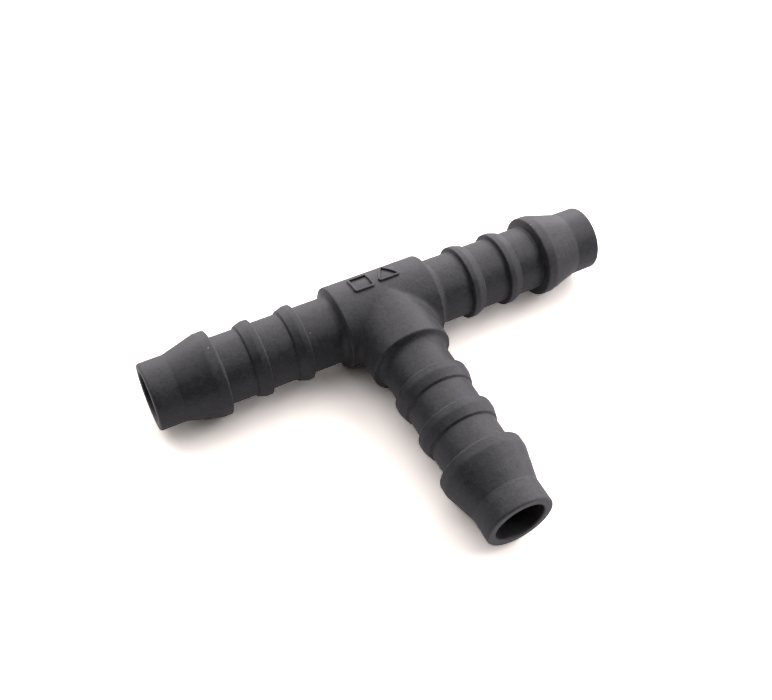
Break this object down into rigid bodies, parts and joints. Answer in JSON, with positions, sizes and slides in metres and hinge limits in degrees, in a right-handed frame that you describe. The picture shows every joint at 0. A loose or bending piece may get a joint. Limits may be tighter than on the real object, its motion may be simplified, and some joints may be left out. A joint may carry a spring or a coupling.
{
  "type": "barbed tee connector",
  "caption": "Hose tee: a straight run with a barbed spigot at each end and a third barbed spigot square to it, all bored through to a cylindrical hub.",
  "frame": {"origin": "the point where the run bore axis and the branch bore axis cross, in the middle of the hub", "axes": "X along the run, -Y out of the branch spigot, +Z towards the side with the raised marks; lying on a table the object rests on its barbs and hub at z = -0.005 m"},
  "size_m": [0.0572, 0.0362, 0.0102],
  "materials": {
    "moulded_plastic": "matte"
  },
  "bodies": {
    "root": {"tee_body": "moulded_plastic"}
  },
  "joints": []
}
